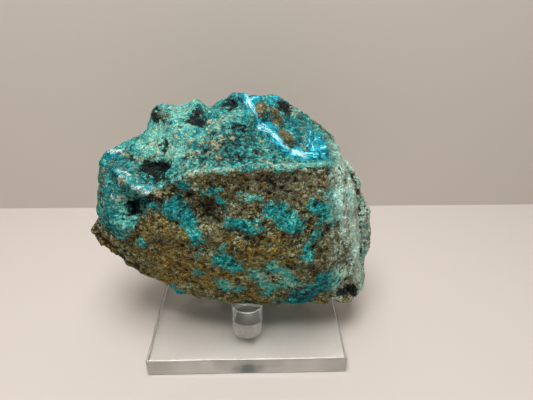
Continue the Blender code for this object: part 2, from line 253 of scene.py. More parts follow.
strokes["black"] = [
    ([(147, 169), (155, 167), (166, 169)], 2.6, 1), ([(152, 173), (164, 175)], 2.2, 1),
    ([(160, 180), (168, 180), (176, 174)], 1.6, 0.7), ([(188, 121), (192, 116), (198, 111)], 1.9, 0.95),
    ([(190, 123), (196, 120), (202, 125)], 2.3, 1), ([(203, 112), (203, 124)], 1, 0.9),
    ([(180, 127)], 0.9, 0.85), ([(165, 143), (166, 150)], 1.3, 0.95), ([(184, 158), (178, 162)], 1.2, 0.75),
    ([(158, 184), (150, 178)], 1, 0.6), ([(132, 206), (136, 203), (141, 199)], 1.8, 1),
    ([(146, 198), (156, 200)], 1.6, 0.62), ([(132, 211), (138, 208)], 1.9, 1), ([(103, 207)], 0.9, 0.9),
    ([(280, 108), (284, 107), (286, 112)], 2.2, 1), ([(288, 105)], 1.2, 0.9),
    ([(342, 291), (349, 288), (354, 292)], 2.4, 1), ([(157, 110), (156, 120)], 1.4, 0.95),
    ([(161, 114), (166, 119)], 1.2, 0.5), ([(162, 121), (170, 122)], 0.8, 0.6),
    ([(232, 104), (238, 108)], 1.6, 0.75), ([(244, 128), (243, 138)], 0.8, 0.8),
    ([(230, 128), (238, 126)], 1, 0.6), ([(246, 168)], 0.8, 0.8), ([(213, 136), (216, 132)], 0.8, 0.7),
    ([(226, 142), (230, 146)], 0.8, 0.7), ([(203, 148), (207, 153)], 0.9, 0.7),
    ([(236, 154), (241, 158)], 0.9, 0.7), ([(256, 150), (258, 156)], 0.8, 0.7),
    ([(219, 162), (223, 160)], 0.7, 0.7), ([(196, 156), (192, 160)], 0.8, 0.7),
    ([(104, 192), (102, 199)], 0.9, 0.75), ([(127, 158), (134, 159)], 0.7, 0.8),
    ([(222, 106), (228, 104)], 0.8, 0.75), ([(322, 128), (328, 136)], 0.7, 0.6),
    ([(203, 206), (211, 213), (216, 219)], 2.6, 0.43), ([(268, 178), (272, 184)], 2, 0.5),
    ([(262, 178)], 2, 0.5), ([(118, 253), (142, 269)], 1.6, 0.6), ([(97, 222), (102, 232)], 1.4, 0.56),
    ([(94, 228), (104, 240), (114, 248)], 2.6, 0.47), ([(174, 190), (168, 196)], 1.6, 0.62),
    ([(356, 186), (358, 205), (360, 235), (361, 262), (358, 284)], 0.8, 0.78),
    ([(364, 205), (365, 222)], 0.8, 0.6), ([(350, 172), (354, 182)], 0.9, 0.7),
    ([(183, 200), (190, 195)], 1.8, 0.55), ([(319, 157), (325, 155)], 0.9, 0.7),
    ([(248, 238), (262, 244)], 1.2, 0.45), ([(296, 296), (312, 290)], 2.6, 0.5),
    ([(155, 208), (160, 205)], 1.4, 0.6), ([(338, 170), (343, 176)], 1.2, 0.6),
]
strokes["tan"] = [  # single pale grains
    ([(211, 124)], 0.9, 1), ([(214, 143), (217, 146)], 0.9, 1), ([(190, 144), (196, 139)], 0.5, 0.9),
    ([(206, 166)], 0.7, 1), ([(122, 179), (123, 184)], 0.8, 0.9), ([(157, 193), (166, 194)], 1.2, 1),
    ([(104, 169)], 0.9, 0.9), ([(134, 167)], 0.8, 0.9), ([(160, 154)], 0.8, 0.8),
    ([(176, 180), (191, 177), (218, 174), (252, 172), (280, 171), (305, 171), (325, 170)], 0.5, 0.62),
    ([(256, 226)], 0.9, 1), ([(219, 110), (225, 104)], 0.8, 0.7), ([(172, 110)], 1, 0.8),
    ([(124, 154), (132, 158)], 0.6, 0.9), ([(233, 139)], 0.8, 0.8), ([(261, 142)], 0.8, 0.8),
    ([(232, 148)], 0.7, 0.8), ([(200, 118)], 0.7, 1), ([(342, 172), (344, 182)], 0.9, 0.8),
    ([(344, 257)], 0.9, 0.7), ([(176, 137), (178, 139)], 0.7, 0.8), ([(168, 153)], 0.7, 0.8),
    ([(150, 155)], 0.7, 0.8),
]
strokes["cream"] = [  # pale lines along the edges
    ([(152, 189), (164, 188), (172, 181), (178, 177), (190, 174), (203, 172), (230, 170), (262, 169),
       (295, 168)], 0.5, 0.72),
    ([(251, 118), (240, 114), (226, 121), (218, 128), (207, 134), (197, 147), (186, 161),
       (176, 172)], 0.6, 0.66), ([(240, 98), (247, 109), (255, 119), (266, 136), (277, 147)], 0.4, 0.66),
    ([(137, 160), (145, 163)], 1.4, 0.62), ([(117, 199), (122, 201), (126, 198)], 0.8, 0.66),
    ([(304, 150), (303, 136), (300, 128)], 0.6, 0.62), ([(262, 160), (282, 166), (300, 164)], 1.4, 0.55),
    ([(208, 120), (218, 126)], 0.8, 0.6), ([(256, 271), (266, 280), (280, 274), (291, 284)], 1.4, 0.7),
    ([(262, 288), (272, 284), (284, 268)], 0.8, 0.68), ([(222, 284), (234, 287)], 1.2, 0.6),
    ([(222, 136), (214, 150)], 0.6, 0.55), ([(168, 153), (178, 146), (186, 139)], 0.7, 0.55),
    ([(146, 148), (152, 144), (160, 147)], 1.4, 0.5), ([(290, 108), (288, 114)], 0.4, 0.7),
    ([(292, 113)], 0.4, 0.7),
]
strokes["clast"] = [  # lumps of the brown rock caught in the turquoise
    ([(262, 106), (262, 114)], 2, 1), ([(271, 111), (275, 119)], 2.6, 1),
    ([(285, 135), (289, 142)], 2.6, 1), ([(281, 104), (293, 108)], 1.6, 0.8), ([(298, 115)], 1.2, 1),
    ([(160, 113), (165, 118)], 2.2, 0.75), ([(305, 132), (303, 120)], 1.6, 0.7),
    ([(312, 122), (322, 130), (331, 139)], 1.3, 0.85), ([(303, 148), (302, 138)], 0.8, 0.7),
    ([(232, 101), (224, 106)], 1.6, 0.6), ([(354, 182), (362, 200)], 2, 0.8),
    ([(344, 255), (343, 262)], 1.4, 0.8), ([(350, 276), (347, 284)], 1.4, 0.7),
    ([(337, 160), (340, 172)], 1.2, 0.6), ([(366, 212)], 1.6, 0.6), ([(366, 225), (366, 250)], 1.6, 0.62),
    ([(364, 262), (362, 284)], 1.4, 0.6), ([(333, 172), (335, 190)], 1, 0.62),
    ([(339, 180), (341, 196)], 0.8, 0.6), ([(127, 157), (132, 158)], 0.6, 0.8),
    ([(206, 132), (210, 146)], 1.6, 0.62), ([(222, 120), (229, 116)], 1.2, 0.7),
    ([(101, 172), (100, 190), (101, 204)], 1.3, 0.75), ([(252, 150), (262, 156)], 1.6, 0.6),
    ([(216, 158), (226, 164)], 1.8, 0.6), ([(106, 214), (104, 206)], 1, 0.8),
    ([(118, 166), (112, 164)], 0.5, 0.8), ([(183, 112), (186, 108)], 1, 0.6),
]
strokes["vein"] = [
    ([(259, 127), (268, 130), (274, 135), (278, 140), (283, 145), (291, 150), (298, 154),
       (304, 156)], 1.3, 0.98), ([(294, 152), (303, 154)], 1.8, 1),
    ([(262, 122), (270, 128), (284, 140), (296, 150), (314, 156), (324, 154)], 1.5, 0.66),
    ([(246, 97), (250, 105), (254, 112), (257, 118)], 1.9, 0.82), ([(248, 103)], 0.6, 1),
    ([(252, 99), (258, 98)], 1.1, 0.95), ([(270, 102)], 0.6, 0.8), ([(275, 99), (281, 101)], 0.6, 0.8),
    ([(283, 151), (290, 152)], 0.5, 0.8), ([(292, 155), (299, 159)], 0.5, 0.9),
    ([(312, 150), (319, 149), (325, 147), (324, 143), (316, 140), (312, 144), (313, 149)], 0.6, 0.95),
    ([(308, 138), (309, 144), (305, 146)], 0.6, 0.95), ([(308, 124), (308, 128)], 0.5, 0.9),
    ([(310, 136), (311, 133)], 0.5, 0.9), ([(301, 148)], 0.5, 0.85),
    ([(112, 166), (120, 173), (131, 181), (150, 190)], 0.7, 0.53), ([(106, 158), (118, 155)], 0.5, 0.54),
    ([(306, 160), (309, 158)], 0.5, 0.7), ([(170, 208), (174, 203)], 0.4, 0.6),
    ([(188, 219), (190, 214)], 0.4, 0.6), ([(318, 162), (326, 158)], 0.5, 0.6),
]
strokes["fleck"] = [  # white crumbs on the ledges at the left
    ([(118, 170), (122, 173), (127, 175), (131, 179)], 0.45, 0.95), ([(121, 178), (125, 183)], 0.3, 0.8),
    ([(113, 152), (119, 151)], 0.7, 0.8), ([(120, 147), (130, 148)], 0.4, 0.66),
    ([(134, 187), (140, 189), (150, 191)], 0.7, 0.84), ([(112, 196), (121, 197)], 0.4, 0.76),
    ([(136, 180), (142, 184)], 0.3, 0.7), ([(108, 183), (113, 180)], 0.3, 0.66),
    ([(146, 196), (140, 193)], 0.3, 0.66),
]
strokes["ochre"] = [
    ([(225, 246), (250, 250), (275, 245)], 7, 0.7), ([(160, 222), (148, 222), (135, 248)], 4, 0.9),
    ([(190, 262), (210, 276)], 7, 0.7), ([(258, 180), (225, 178)], 4, 0.6),
    ([(180, 240), (165, 255)], 5, 0.8), ([(140, 262), (165, 280)], 4, 0.5),
    ([(285, 200), (300, 196)], 3, 0.5), ([(262, 292), (240, 300)], 3, 0.8), ([(97, 238)], 4, 1),
    ([(240, 272), (250, 262)], 3, 0.7),
]
strokes["grey"] = [
    ([(250, 180), (280, 178), (300, 182)], 7, 0.8), ([(315, 175), (325, 180)], 4, 0.9),
    ([(315, 262), (328, 270)], 6, 0.7), ([(200, 215), (225, 215)], 5, 0.6),
    ([(355, 200), (365, 225)], 8, 0.7), ([(96, 236)], 4, 0.4), ([(122, 222), (128, 232)], 3, 1),
    ([(345, 205), (346, 235), (348, 262), (350, 284)], 2.8, 1), ([(330, 240), (336, 262)], 4, 0.8),
]

# The masks that the material reads: all but the knolls, and four worked out from the shape.
maskNames = [name for name in strokes if name != "knoll"] + ["cover", "streak", "raised", "sunken"]


def fineSurface(node):  # the stone's own solid, remade as an even fine net
    bm = bmesh.new()
    bm.from_mesh(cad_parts[node].data)
    bmesh.ops.remove_doubles(bm, verts=bm.verts, dist=1e-6)
    mesh = bpy.data.meshes.new("stoneFine")
    bm.to_mesh(mesh)
    bm.free()
    stone = bpy.data.objects.new("stone", mesh)
    bpy.context.scene.collection.objects.link(stone)
    net = stone.modifiers.new("net", "REMESH")
    net.mode = "VOXEL"
    net.voxel_size = stoneShape["grid"] * mm
    softer = stone.modifiers.new("softer", "SMOOTH")
    softer.iterations = stoneShape["smoothing"]
    softer.factor = 0.5
    made = bpy.data.meshes.new_from_object(stone.evaluated_get(bpy.context.evaluated_depsgraph_get()))
    stone.modifiers.clear()
    stone.data = made
    made.materials.clear()
    return stone


def placesOf(mesh):
    flat = np.empty(len(mesh.vertices) * 3)
    mesh.vertices.foreach_get("co", flat)
    return flat.reshape(-1, 3) / mm


def normalsOf(mesh):
    flat = np.empty(len(mesh.vertices) * 3)
    mesh.vertex_normals.foreach_get("vector", flat)
    return flat.reshape(-1, 3)


def neighbourMean(values, edges, rounds):  # values spread over the net, a little each round
    count = np.bincount(edges.ravel(), minlength=len(values)).astype(float)
    for _ in range(rounds):
        total = np.zeros_like(values)
        for here, there in ((0, 1), (1, 0)):
            np.add.at(total, edges[:, here], values[edges[:, there]])
        share = count if values.ndim == 1 else count[:, None]
        values = 0.5 * values + 0.5 * total / share
    return values


def wander(places, width, octaves=3, shift=0.0, stretch=(1, 1, 1)):  # soft noise, about -1 to 1
    scale = np.array(stretch) / width
    return np.array([noise.fractal(Vector(place), 1.0, 2.0, octaves) for place in places * scale + shift])


def stirred(places, width, reach, shift=0.0):  # moved by soft noise, so that cells lose their straight walls
    return places + reach * np.array([noise.noise_vector(Vector(place)) for place in places / width + shift])


def crests(places, width, shift=0.0):  # sharp low ridges, about 0 to 1
    places = places / width + shift
    values = [noise.ridged_multi_fractal(Vector(place), 1.0, 2.1, 4, 1.0, 2.0) for place in places]
    return np.clip(np.array(values) / 2.2, 0, 1.3)


def cells(places, width, shift=0.0):  # for each place: how far inside its cell, and the cell's own number
    inside = np.empty(len(places))
    number = np.empty(len(places))
    for index, place in enumerate(places / width + shift):
        reaches, points = noise.voronoi(Vector(place))
        inside[index] = reaches[1] - reaches[0]
        number[index] = noise.cell(points[0] * 37.7)
    return inside, number


def offStroke(places, line):  # distance from each place to a line of straight pieces
    nearest = np.linalg.norm(places - line[0], axis=1)
    for start, end in zip(line, line[1:]):
        run = end - start
        along = np.clip((places - start) @ run / max(run @ run, 1e-9), 0, 1)
        nearest = np.minimum(nearest, np.linalg.norm(places - start - along[:, None] * run, axis=1))
    return nearest


def alongStroke(places, normals, line):  # how far off a line, how far along it, and how far to its side
    best = np.full(len(places), 1e9)
    along = np.zeros(len(places))
    side = np.zeros(len(places))
    passed = 0.0
    for start, end in zip(line, line[1:]):
        run = end - start
        length = np.linalg.norm(run)
        share = np.clip((places - start) @ run / max(length ** 2, 1e-9), 0, 1)
        off = places - start - share[:, None] * run
        reach = np.linalg.norm(off, axis=1)
        nearer = reach < best
        best[nearer] = reach[nearer]
        along[nearer] = passed + share[nearer] * length
        side[nearer] = (reach * np.sign((np.cross(run, normals) * off).sum(1)))[nearer]
        passed += length
    return best, along, side


def insideOutline(points, outline):  # signed distance in pixels to an outline, above 0 inside
    inside = np.zeros(len(points), bool)
    nearest = np.full(len(points), 1e9)
    corners = np.array(outline, float)
    for start, end in zip(corners, np.roll(corners, -1, axis=0)):
        run = end - start
        along = np.clip((points - start) @ run / (run @ run), 0, 1)
        nearest = np.minimum(nearest, np.linalg.norm(points - start - along[:, None] * run, axis=1))
        crosses = (start[1] > points[:, 1]) != (end[1] > points[:, 1])
        rise = run[1] if run[1] else 1e-9
        inside ^= crosses & (points[:, 0] < start[0] + (points[:, 1] - start[1]) * run[0] / rise)
    return np.where(inside, nearest, -nearest)


def strokeLine(tree, pixels):  # a stroke's pixels laid on the stone, in millimetres
    hits = [tree.ray_cast(Vector(view["place"]) * mm, sightLine(*pixel))[0] for pixel in pixels]
    missed = hits.count(None)
    if missed:
        print("stroke points off the stone:", pixels, missed)
    return [np.array(hit) / mm for hit in hits if hit is not None]


def paintStrokes(tree, places, name, rough):  # 0.5 at a stroke's half width, more inside, less outside
    mask = np.zeros(len(places))
    for pixels, halfWidth, strength in strokes[name]:
        line = strokeLine(tree, pixels)
        if line:
            past = offStroke(places, line) + rough - halfWidth
            mask = np.maximum(mask, strength * np.clip(0.5 - past / (2 * fading[name]), 0, 1))
    return mask


def veinFlow(tree, places, normals):  # millimetres along and across the nearest stretch of vein
    nearest = np.full(len(places), 1e9)
    flow = np.zeros((len(places), 3))
    for number, (pixels, halfWidth, _) in enumerate(strokes["vein"]):
        line = strokeLine(tree, pixels)
        if len(line) > 1:
            reach, along, side = alongStroke(places, normals, line)
            closer = reach - halfWidth < nearest
            nearest[closer] = (reach - halfWidth)[closer]
            flow[closer] = np.stack([along, side, np.full(len(places), 7.0 * number)], 1)[closer]
    return flow


relief = {  # heights and widths in millimetres
    "ledge": (0.9, 9.0), "grain": (0.50, 3.0), "fineGrain": (0.34, 1.7), "crest": (0.75, 4.2),
    "rib": (0.62, 2.8), "pit": 0.7, "cave": 2.6, "hollow": 1.7, "knoll": 1.2, "clast": 0.4, "tan": 0.35,
    "crustStands": 0.35, "veinStands": 0.1, "pegGap": 0.15, "pegMargin": 1.5,
}

# How far each kind of mark strays from its stroke, as a share of the common raggedness.
wildness = {"vein": 0.3, "black": 1.3, "patch": 1.15, "clast": 0.9, "tan": 0.4}
plainWildness = 0.7


def facingCamera(places, broad):  # 1 where the surface faces the camera, 0 where it is turned away
    aim = np.array(view["place"]) - places
    aim /= np.linalg.norm(aim, axis=1)[:, None]
    return fade(((broad * aim).sum(1) + 0.15) / 0.3)


def groundMasks(tree, places, broad, sways):  # what lies where, each kind from 0 to 1
    big, mid, small = sways
    pixels = pixelsOf(places)
    facing = facingCamera(places, broad)
    away = 1 - facing
    ragged = mid + 0.9 * small  # millimetres
    masks = {}
    for name in strokes:
        masks[name] = paintStrokes(tree, places, name, ragged * wildness.get(name, plainWildness))

    # turquoise: by outline on the side that shows, by height and chance behind, and a patch beneath
    shown = np.clip(0.5 + (0.44 * insideOutline(pixels, stoneShape["rim"]) + ragged) / 4.4, 0, 1)
    above = (places[:, 2] - stoneShape["capHeight"]) / 40
    behind = np.clip(0.30 + above + 0.9 * big + 0.3 * mid + 0.15 * small, 0, 1)
    fromMiddle = np.linalg.norm(places[:, :2] - stoneShape["tealBelow"], axis=1)
    beneath = fade((-broad[:, 2] - 0.4) / 0.3) * fade((stoneShape["tealReach"] - fromMiddle) / 12)
    beneath *= np.clip(0.75 + 0.3 * mid, 0, 1)
    masks["cover"] = np.maximum.reduce([shown * facing + behind * away, masks["patch"], beneath])

    # pale upright streaks on the right end
    across, down = stoneShape["streaksFrom"]
    inView = fade((pixels[:, 0] + 6 * mid - across) / 14) * fade((pixels[:, 1] - down) / 12) * facing
    onEnd = fade((broad[:, 0] - 0.45) / 0.3) * fade((places[:, 0] - stoneShape["rightEnd"]) / 8)
    masks["streak"] = np.maximum(inView, onEnd)

    # chance marks where no stroke reaches
    low = fade((stoneShape["rustBelow"] - places[:, 2]) / 30)
    masks["ochre"] = np.clip(masks["ochre"] + 0.35 * low + 0.3 * big, 0, 1)
    masks["deep"] = np.clip(masks["deep"] + 0.6 * fade((big - 0.1) / 0.5) * away, 0, 1)
    masks["pale"] = np.clip(masks["pale"] + 0.8 * fade((mid + 0.1) / 0.6) * away, 0, 1)
    masks["gritty"] = np.clip(masks["gritty"] + 0.5 * away, 0, 1)
    stains = np.clip((wander(places, 9.0, 3, 70.0) - 0.45) / 0.5, 0, 1)
    masks["black"] = np.maximum(masks["black"], stains * away)

    # used for the shape alone
    across, down = stoneShape["caveCorner"]
    inCorner = fade((across - pixels[:, 0]) / 10) * fade((pixels[:, 1] - down) / 8)
    masks["cave"] = masks["black"] * inCorner * facing
    toRight = fade((pixels[:, 0] - stoneShape["smoothVeinFrom"]) / 10)
    masks["smooth"] = fade((masks["vein"] - 0.35) / 0.25) * toRight
    return masks


def surfaceRise(places, masks, small):  # millimetres: the fine relief of each kind of ground
    moved = stirred(stirred(places, 2.6, 1.3, 60.0), 1.1, 0.5, 80.0)
    height, width = relief["grain"]
    inside, number = cells(moved, width, 9.0)
    lumps = height * ((number - 0.35) * fade(inside / 0.4) - 0.15 * fade((0.12 - inside) / 0.12))
    height, width = relief["fineGrain"]
    inside, number = cells(moved, width, 3.0)
    grains = height * (number - 0.4) * fade(inside / 0.35)
    height, width = relief["ledge"]
    level = wander(places, width, 3, 31.0) * 2.2
    ledges = height * (np.floor(level) + fade((level - np.floor(level)) / 0.28)) / 2.2
    height, width = relief["crest"]
    calm = np.clip(masks["pale"], 0, 1) * (1 - np.clip(masks["gritty"], 0, 1))
    edgy = height * (crests(moved, width, 51.0) - 0.5) * (1 - 0.7 * calm)
    height, width = relief["rib"]
    ribs = height * wander(places, width, 3, 5.0, (1, 1, 0.18))

    cover, streak = masks["cover"], masks["streak"]
    matrix = (1 - np.clip(cover, 0, 1)) * (1 - 0.5 * streak)
    rise = 0.55 * ledges + matrix * (lumps + grains + 0.4 * edgy + 0.15 * small)
    rise += cover * (1 - streak) * (edgy + (1 - 0.6 * calm) * (0.6 * grains + 0.4 * lumps + 0.2 * small))
    rise += streak * (ribs + 0.5 * grains + 0.5 * edgy)
    rise += relief["crustStands"] * fade((cover - 0.35) / 0.3)
    rise += relief["tan"] * fade(masks["tan"] / 0.8)
    rise -= relief["pit"] * fade((masks["black"] - 0.3) / 0.5) * (0.7 + 0.9 * small)
    rise += relief["clast"] * fade((masks["clast"] - 0.3) / 0.4)
    rise -= relief["cave"] * fade((masks["cave"] - 0.3) / 0.4)
    rise += relief["knoll"] * fade(masks["knoll"]) * (1 + 1.1 * small)
    rise -= relief["hollow"] * fade(masks["hollow"])
    return rise * (1 - 0.5 * masks["smooth"]) + relief["veinStands"] * masks["smooth"]


def keptClear(places):  # nothing sinks into the pegs or leaves the solid's box
    for peg in pegs:
        foot, top = (np.array(corner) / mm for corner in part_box(peg))
        middle = (foot + top) / 2
        reach = (top[0] - foot[0]) / 2 + relief["pegMargin"]
        over = np.linalg.norm(places[:, :2] - middle[:2], axis=1) < reach
        over &= places[:, 2] < stoneShape["undersideBelow"]
        places[over, 2] = np.maximum(places[over, 2], top[2] + relief["pegGap"])
    low, high = (np.array(corner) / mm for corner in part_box("chrysocolla_stone"))
    return np.clip(places, low, high)


def keepLayer(mesh, name, kind, slot, values):  # values kept at the mesh's points, for the material
    layer = mesh.attributes.new(name, kind, "POINT")
    layer.data.foreach_set(slot, values.astype(np.float32).ravel())


def makeStone():
    stone = fineSurface("chrysocolla_stone")
    mesh = stone.data
    net = placesOf(mesh)
    normals = normalsOf(mesh)
    edges = np.empty(len(mesh.edges) * 2, int)
    mesh.edges.foreach_get("vertices", edges)
    edges = edges.reshape(-1, 2)
    print("stone net:", len(net), "points")

    tree = BVHTree.FromObject(stone, bpy.context.evaluated_depsgraph_get())
    broad = neighbourMean(normals, edges, 12)
    broad /= np.linalg.norm(broad, axis=1)[:, None]
    sways = wander(net, 16.0), wander(net, 5.0, 4, 11.0), wander(net, 1.9, 3, 23.0)
    masks = groundMasks(tree, net, broad, sways)
    rise = surfaceRise(net, masks, sways[2])
    places = keptClear(net + normals * rise[:, None])
    mesh.vertices.foreach_set("co", (places * mm).ravel())
    mesh.update()

    # how far each point stands out from or sinks below its neighbours, read by the material for painted
    # highlight and painted shade
    height = ((places - neighbourMean(places, edges, 5)) * normalsOf(mesh)).sum(1)
    wide = ((places - neighbourMean(places, edges, 50)) * broad).sum(1)
    masks["raised"] = np.clip(0.5 + height / 0.7, 0, 1)
    masks["sunken"] = np.clip(-wide / 1.8, 0, 1)
    keepLayer(mesh, "veinFlow", "FLOAT_VECTOR", "vector", veinFlow(tree, net, normals))
    for name in maskNames:
        keepLayer(mesh, name, "FLOAT", "value", masks[name])
    mesh.shade_smooth()
    print("stone triangles:", sum(len(face.vertices) - 2 for face in mesh.polygons))
    return stone


stone = makeStone()
print("stone shaped")


# ---- the rock's material

rockFinish = {
    "grain": 1.3, "fineGrain": 0.74, "crustGrain": 0.95, "warp": 0.9, "warpSize": 0.9,  # millimetres
    "bedding": 28,  # degrees: grains lie along this slope
    "crustDepth": 0.43,  # 0 all pale, 1 all dark
    "edge": (0.46, 0.54),  # between these values a painted mask sets in
    "bump": 0.8, "bumpDepth": 0.7, "roughness": 0.60, "shine": 0.12,
    "matrix": [
        (0.0, (20, 17, 10)), (0.09, (44, 36, 22)), (0.20, (80, 66, 36)), (0.34, (110, 100, 60)),
        (0.50, (128, 132, 90)), (0.60, (150, 112, 42)), (0.68, (120, 124, 84)), (0.80, (152, 168, 134)),
        (0.92, (184, 200, 170)), (1.0, (214, 226, 204)),
    ],
    "crust": [
        (0.02, (146, 202, 182)), (0.20, (100, 188, 178)), (0.36, (40, 170, 166)), (0.50, (0, 142, 146)),
        (0.64, (0, 106, 114)), (0.80, (0, 72, 84)), (0.95, (0, 42, 54)),
    ],
    "clast": [(0.22, (40, 36, 26)), (0.44, (84, 78, 56)), (0.60, (112, 108, 82)), (0.78, (140, 152, 124))],
    "streaks": [
        (0.30, (206, 238, 224)), (0.42, (166, 216, 202)), (0.50, (190, 212, 196)), (0.58, (176, 186, 168)),
        (0.66, (142, 142, 124)), (0.80, (84, 88, 72)),
    ],
    "vein": [
        (0.28, (0, 84, 102)), (0.38, (0, 130, 154)), (0.52, (0, 174, 202)), (0.61, (36, 206, 230)),
        (0.69, (236, 250, 250)), (0.80, (140, 230, 244)), (0.88, (20, 186, 214)), (1.0, (220, 244, 246)),
    ],
    "greenCast": (136, 172, 136), "blueCast": (64, 146, 164), "peach": (160, 136, 102),
    "cream": (186, 192, 156), "black": (10, 10, 11), "soot": (88, 90, 88),
    "layers": {  # each colour, and the most that it covers
        "ochre": ((136, 118, 34), 0.45), "gold": ((164, 128, 30), 0.6), "grey": ((110, 100, 92), 0.75),
        "earth": ((26, 21, 14), 0.80), "paleGrain": ((184, 200, 170), 0.65),
        "thread": ((152, 168, 136), 0.6), "blue": ((0, 106, 128), 1.0), "crustEarth": ((26, 21, 14), 0.85),
        "brightThread": ((110, 200, 184), 0.6), "creamLine": ((186, 192, 156), 0.6),
        "fleck": ((204, 238, 232), 0.85),
    },
    "shades": {  # what each multiplies the colour by, and how strongly
        "matrixShade": ((0.4452, 0.3916, 0.2961), 0.45), "patchTint": ((0.28, 1.08, 1.14), 0.65),
        # the last four are painted shade, darkening crevices, sunken places, hollows and the grooves between
        # grains
        "crevice": ((0.10, 0.10, 0.10), 0.75), "sunken": ((0.25, 0.23, 0.2), 0.45),
        "hollow": ((0.25, 0.23, 0.22), 0.40), "grooveShade": ((0.22, 0.22, 0.2), 1.0),
    },
}


def makeGrit():  # a group: grains of mixed kinds, and the roughness over them
    grit = bpy.data.node_groups.new("grit", "ShaderNodeTree")
    grit.interface.new_socket("Vector", in_out="INPUT", socket_type="NodeSocketVector")
    grit.interface.new_socket("Size mm", in_out="INPUT", socket_type="NodeSocketFloat")
    for name in ("Kind", "Other", "Middle", "Tone"):
        grit.interface.new_socket(name, in_out="OUTPUT", socket_type="NodeSocketFloat")
    given = grit.nodes.new("NodeGroupInput")
    result = grit.nodes.new("NodeGroupOutput")
    scale = sums(grit, "DIVIDE", 1 / mm, given.outputs["Size mm"])
    grains = put(grit, "ShaderNodeTexVoronoi", {"Vector": given.outputs["Vector"], "Scale": scale})
    parts = put(grit, "ShaderNodeSeparateColor", {"Color": grains.outputs["Color"]})
    tone = put(grit, "ShaderNodeTexNoise", {"Vector": given.outputs["Vector"], "Scale": scale, "Detail": 3.0,
                                            "Roughness": 0.7})
    made = {"Kind": parts.outputs["Red"], "Other": parts.outputs["Blue"],
            "Middle": grains.outputs["Distance"], "Tone": tone.outputs["Fac"]}
    for name, socket in made.items():
        grit.links.new(socket, result.inputs[name])
    return grit


